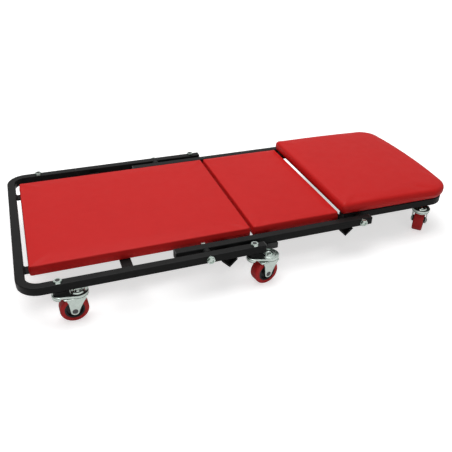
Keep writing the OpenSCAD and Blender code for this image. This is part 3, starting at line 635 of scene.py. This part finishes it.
def pad_mesh(outline, base_z, board_t, edge_z, roll, crown, tuck):
    """Points, faces and the share of each point that is held: 1 on the board, 0 on the free top."""
    nx, ny = outline.across, outline.deep
    points, faces, hold = [], [], []
    index = {}
    for j, row in enumerate(coons(outline.loop(roll), nx, ny)):
        for i, p in enumerate(row):
            u, v = 2 * i / nx - 1, 2 * j / ny - 1
            rise = crown * (1 - abs(u) ** CROWN_POWER) * (1 - abs(v) ** CROWN_POWER)
            index[i, j] = len(points)
            points.append((p.x, p.y, edge_z + rise))
            hold.append(0.0)
    for j in range(ny):
        for i in range(nx):
            faces.append((index[i, j], index[i + 1, j], index[i + 1, j + 1], index[i, j + 1]))
    border = grid_border(nx, ny)
    last = [index[place] for place in border]
    n = len(border)
    for inset, z, held in cover_rings(base_z, board_t, edge_z, roll, tuck):
        ring = []
        for p in outline.loop(inset):
            ring.append(len(points))
            points.append((p.x, p.y, z))
            hold.append(held)
        for k in range(n):
            m = (k + 1) % n
            faces.append((last[m], last[k], ring[k], ring[m]))
        last = ring
    lid = coons([Vector(points[k][:2]) for k in last], nx, ny)
    inner = dict(zip(border, last))
    for j in range(1, ny):
        for i in range(1, nx):
            inner[i, j] = len(points)
            points.append((lid[j][i].x, lid[j][i].y, base_z + board_t))
            hold.append(1.0)
    for j in range(ny):
        for i in range(nx):
            faces.append((inner[i, j], inner[i, j + 1], inner[i + 1, j + 1], inner[i + 1, j]))
    return points, faces, hold


def swell(piece, hold, cap):
    """Cloth simulation: the cover swells off the board, and no point moves further than cap."""
    start = [v.co.copy() for v in piece.data.vertices]
    group = piece.vertex_groups.new(name="held")
    for k, share in enumerate(hold):
        if share > 0:
            group.add([k], share, "REPLACE")
    cloth = piece.modifiers.new("cloth", "CLOTH")
    for name, value in CLOTH.items():
        setattr(cloth.settings, name, value)
    cloth.settings.effector_weights.gravity = 0.0
    scene = bpy.context.scene
    scene.frame_start, scene.frame_end = 1, SIM_FRAMES
    cloth.point_cache.frame_start, cloth.point_cache.frame_end = 1, SIM_FRAMES
    for k in range(1, SIM_FRAMES + 1):
        scene.frame_set(k)
    shaped = piece.evaluated_get(bpy.context.evaluated_depsgraph_get()).data
    ends = [v.co.copy() for v in shaped.vertices]
    piece.modifiers.clear()
    scene.frame_set(1)
    for v, a, b, share in zip(piece.data.vertices, start, ends, hold):
        move = (b - a) * (1 - share)
        if move.length > cap:
            move *= cap / move.length
        v.co = a + move
    piece.data.update()


def crease(piece, outline, base_z, edge_z, corners):
    """Gathers of the cover at the corners: fine folds that fan out from the hem and fade before the top."""
    for v in piece.data.vertices:
        if v.co.z > edge_z or v.co.z < base_z + GATHER_LOW:
            continue
        for sx, sy, folds, depth in corners:
            r = outline.right_r if sx > 0 else outline.left_r
            cx = outline.high[0] - r if sx > 0 else outline.low[0] + r
            cy = outline.high[1] - r if sy > 0 else outline.low[1] + r
            dx, dy = (v.co.x - cx) * sx, (v.co.y - cy) * sy
            if min(dx, dy) < -GATHER_PAST * r:
                continue
            angle = math.atan2(dy, dx)
            height = (edge_z - v.co.z) / (edge_z - base_z)
            turned = max(0.0, math.sin(min(max(angle, 0), math.pi / 2) * 2))
            fade = min(1.0, height * GATHER_GROWTH) * turned
            push = depth * fade * math.cos(angle * folds * GATHER_WAVES)
            v.co.x += sx * math.cos(angle) * push
            v.co.y += sy * math.sin(angle) * push
    piece.data.update()


def clear_of(z_low, z_high, nodes):
    """Function that says whether a round spot of the pad's underside is clear of these CAD nodes."""
    boxes = []
    for node in nodes:
        mesh = frame["nodes"][node].data
        for polygon in mesh.polygons:
            xs, ys, zs = zip(*(mesh.vertices[k].co for k in polygon.vertices))
            if max(zs) >= z_low and min(zs) <= z_high:
                boxes.append((min(xs), max(xs), min(ys), max(ys)))

    def clear(x, y, r):
        return not any(a - r < x < b + r and c - r < y < d + r for a, b, c, d in boxes)

    return clear


def staples(name, outline, inset, z, body, clear):
    """Staples that hold the cover's hem to the underside of the board."""
    loop = outline.loop(inset)
    points, faces = [], []
    run = STAPLE_GAP / 2
    for a, b in zip(loop, loop[1:] + loop[:1]):
        step = b - a
        run += step.length
        if run < STAPLE_GAP:
            continue
        run = 0.0
        if not clear(a.x, a.y, STAPLE_W / 2 + STAPLE_CLEAR):
            continue
        along = step.normalized()
        across = Vector((-along.y, along.x))
        start = len(points)
        for s, dz in STAPLE_BEND:
            for t in (-1, 1):
                p = a + along * (s * STAPLE_W / 2) + across * (t * STAPLE_T)
                points.append((p.x, p.y, z + dz * STAPLE_T * STAPLE_RISE))
        for n in range(start, len(points) - 2, 2):
            faces.append((n, n + 1, n + 3, n + 2))
    if faces:
        piece = add_piece(name, points, faces, "staple", body, smooth=False)
        thicken(piece, STAPLE_T * STAPLE_SHELL, 1.0)


def pad(
    name, node, body, under, reach, left_r, right_r, bow, edge_drop, roll, crown, tuck, cap, fill, corners, sag
):
    """One upholstered pad: its cover, creased and stapled, in place of the CAD cushion."""
    low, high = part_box(node)
    board_low, board_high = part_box(node.replace("cushion", "board"))
    base_z = board_low[2]
    near_left, far_right = (low[0] - reach[0], low[1]), (high[0] + reach[1] - bow, high[1])
    outline = Outline(near_left, far_right, left_r, right_r, bow)
    edge_z = high[2] - edge_drop
    points, faces, hold = pad_mesh(outline, base_z, board_high[2] - base_z, edge_z, roll, crown, tuck)
    clear = clear_of(base_z + UNDER_PAD[0], base_z + UNDER_PAD[1], under)
    middle, half = (low[1] + high[1]) / 2, (high[1] - low[1]) / 2
    for k, (x, y, z) in enumerate(points):
        if z < base_z - HEM_SEEN and not clear(x, y, HEM_GAP):
            z = base_z + HEM_LIFTED
        elif z > base_z:
            along = min(max((x - low[0]) / (high[0] - low[0]), 0), 1)
            fall = sag * along ** 3 * abs((y - middle) / half) ** 3
            z -= fall * (z - base_z) / (edge_z - base_z)
        points[k] = (x, y, z)
    piece = add_piece(name, points, faces, "vinyl_red", body)
    staples(name + "_staples", outline, tuck + STAPLE_IN, base_z - HEM_T, body, clear)
    swell(piece, hold, cap)
    crease(piece, outline, base_z, edge_z, corners)
    smooth = piece.modifiers.new("smooth", "SUBSURF")
    smooth.levels = smooth.render_levels = 1
    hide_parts(node)


def arm_nose(name, bolt, start, body):
    """Curled shell round a bolt, deepest towards the start angle, that fades out at both ends."""
    points, faces = [], []
    high = NOSE_SECTION[0][1]
    for i in range(NOSE_STEPS + 1):
        angle = math.radians(NOSE_TURN) * (2 * i / NOSE_STEPS - 1)
        depth = min(1.0, (NOSE_TURN - abs(math.degrees(angle))) / NOSE_EASE)
        depth = depth * depth * (3 - 2 * depth)
        for out, z in NOSE_SECTION:
            r = NOSE_R + out * MM * depth
            x, y = bolt.x + r * math.cos(start + angle), bolt.y + r * math.sin(start + angle)
            points.append((x, y, (high - (high - z) * (NOSE_END + (1 - NOSE_END) * depth)) * MM))
    rows = len(NOSE_SECTION)
    for i in range(NOSE_STEPS):
        for a in range(i * rows, (i + 1) * rows - 1):
            faces.append((a, a + 1, a + rows + 1, a + rows))
    piece = add_piece(name, points, faces, "zinc", body)
    thicken(piece, NOSE_T, -1.0)


def nut_bore_shade(name, bolt, top, body):
    """Dark disc that fills the mouth of a lock nut, a little below its top: a solid nylon insert over the bolt
    end that paints the shade of the nut's bore.
    """
    sides = BORE_SHADE_SIDES
    points = []
    for z in (top - BORE_SHADE_LOW, top - BORE_SHADE_HIGH):
        for k in range(sides):
            angle = 2 * math.pi * k / sides
            points.append((bolt.x + BORE_SHADE_R * math.cos(angle), bolt.y + BORE_SHADE_R * math.sin(angle), z))
    faces = [tuple(reversed(range(sides))), tuple(range(sides, 2 * sides))]
    faces += [(k, (k + 1) % sides, sides + (k + 1) % sides, sides + k) for k in range(sides)]
    add_piece(name, points, faces, "plug_black", body, smooth=False)


def finish_arms():
    """Rolls each caster arm's end down round its bolt, where the CAD arm stays flat, and fills the nut's mouth
    with a dark disc of painted shade.
    """
    for joint in frame["record"]["behaviour"]["joints"]:
        if not joint["name"].endswith("_turn"):
            continue
        caster = joint["name"].removesuffix("_turn")
        swivel = Vector(joint["pos_m"][:2])
        body = joint["parent"]
        bolts = frame["nodes"][body + "_caster_bolts"].data
        near = [v.co for v in bolts.vertices if (Vector(v.co[:2]) - swivel).length < ARM_REACH]
        xs, ys, zs = zip(*near)
        bolt = Vector(((min(xs) + max(xs)) / 2, (min(ys) + max(ys)) / 2))
        out = bolt - swivel
        arm_nose(caster + "_arm_nose", bolt, math.atan2(out.y, out.x), body)
        # Dark disc in the nut's mouth: painted shade of its bore
        nut_bore_shade(caster + "_nut_bore_shade", bolt, max(zs), body)


bpy.context.scene.view_settings.view_transform = "Standard"
dress_cad()
add_camera()
add_floor()
add_world()
add_softboxes()
finish_arms()
for settings in (LONG_PAD, MIDDLE_PAD, SEAT_PAD):
    pad(**settings)
